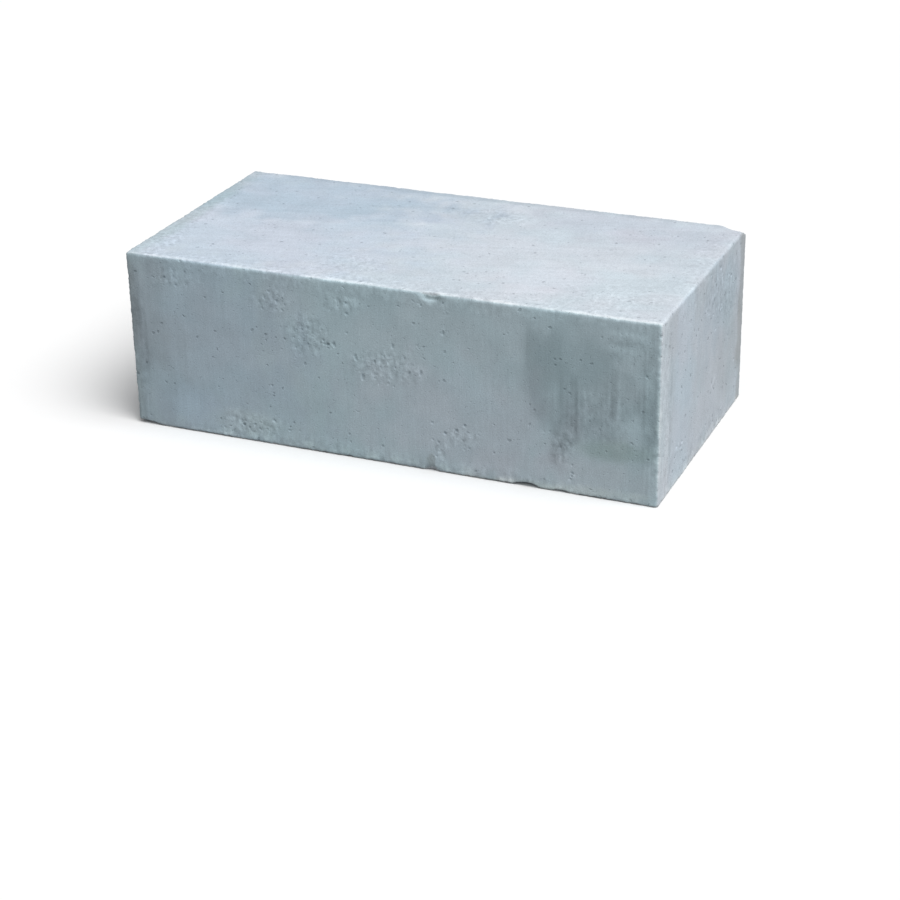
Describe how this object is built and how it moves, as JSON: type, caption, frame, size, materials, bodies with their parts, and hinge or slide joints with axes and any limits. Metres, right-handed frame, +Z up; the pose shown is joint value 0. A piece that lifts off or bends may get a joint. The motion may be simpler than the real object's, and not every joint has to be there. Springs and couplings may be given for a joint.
{
  "type": "aerated concrete block",
  "caption": "Solid rectangular building block of grey aerated concrete, wire-cut faces with fine pores, worn arrises and a few spalled edges, for laying in walls.",
  "frame": {"origin": "middle of the bed face, the large face that the block lies on", "axes": "+X along the block's length, +Y from its front face to its back face, +Z up from the bed face to the top face"},
  "size_m": [0.6, 0.3, 0.2],
  "materials": {
    "concrete": "matt, finely porous, bluish light grey, with paler worn arrises and a darker damp patch"
  },
  "bodies": {
    "root": {"block": "concrete"}
  },
  "joints": []
}
